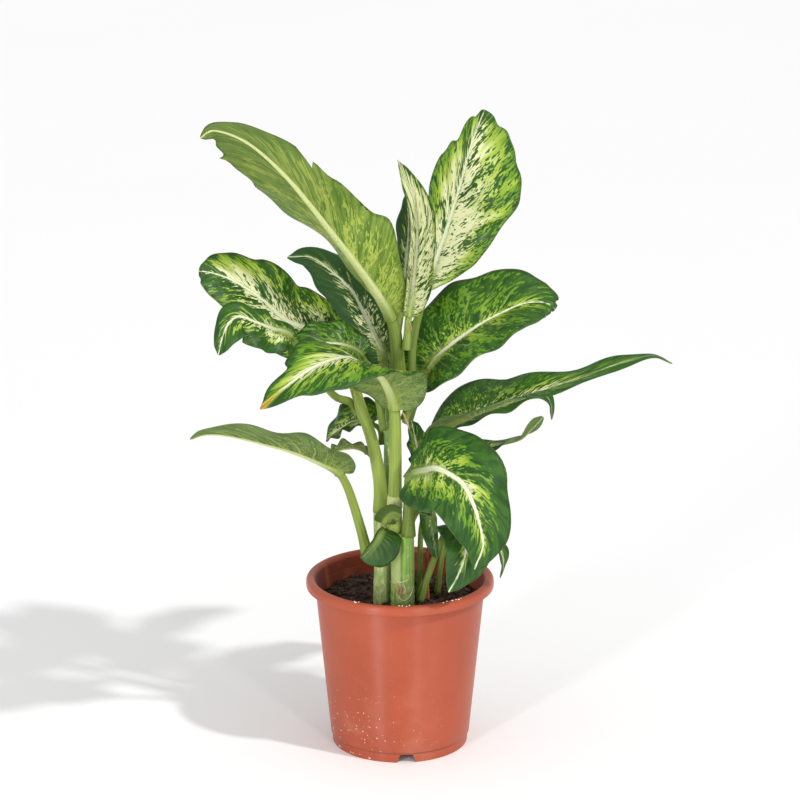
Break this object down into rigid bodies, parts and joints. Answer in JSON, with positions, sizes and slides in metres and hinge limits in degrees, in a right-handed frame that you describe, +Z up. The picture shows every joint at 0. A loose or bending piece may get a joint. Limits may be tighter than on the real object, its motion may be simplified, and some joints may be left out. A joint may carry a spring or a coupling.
{
  "type": "potted dieffenbachia",
  "caption": "Variegated dieffenbachia house plant: green canes with broad cream-streaked leaves, standing in dark soil in a round tapered terracotta-coloured nursery pot.",
  "frame": {"origin": "middle of the pot's underside, on the surface it stands on", "axes": "+Z up along the pot's axis; -Y is the front, from which the large backlit leaf stands up to the left"},
  "size_m": [0.421, 0.3151, 0.6],
  "materials": {
    "pot": "satin",
    "soil": "matte",
    "leaf": "satin",
    "cane": "satin",
    "dry_sheath": "matte",
    "root": "matte"
  },
  "bodies": {
    "root": {"pot": "pot", "soil": "soil", "cane_left": "cane", "cane_front": "cane", "cane_back": "cane", "dry_sheath": "dry_sheath", "root_white": "root", "leaf_upper_left": "leaf", "leaf_upper_right": "leaf", "leaf_rolled_new": "leaf", "leaf_back_centre": "leaf", "leaf_left": "leaf", "leaf_left_drooping": "leaf", "leaf_back_left": "leaf", "leaf_curled_inner": "leaf", "leaf_front_left": "leaf", "leaf_left_low": "leaf", "leaf_back_left_low": "leaf", "leaf_back_inner_left": "leaf", "leaf_right_mid": "leaf", "leaf_right_long": "leaf", "leaf_right_curl": "leaf", "leaf_right_tip": "leaf", "leaf_inner_right": "leaf", "leaf_lower_right": "leaf", "leaf_lower_front": "leaf", "leaf_lower_inner": "leaf", "leaf_far_right_low": "leaf", "leaf_base_front": "leaf", "leaf_base_upper": "leaf", "leaf_rear_left": "leaf", "leaf_rear_right": "leaf", "leaf_rear_low": "leaf"}
  },
  "joints": []
}
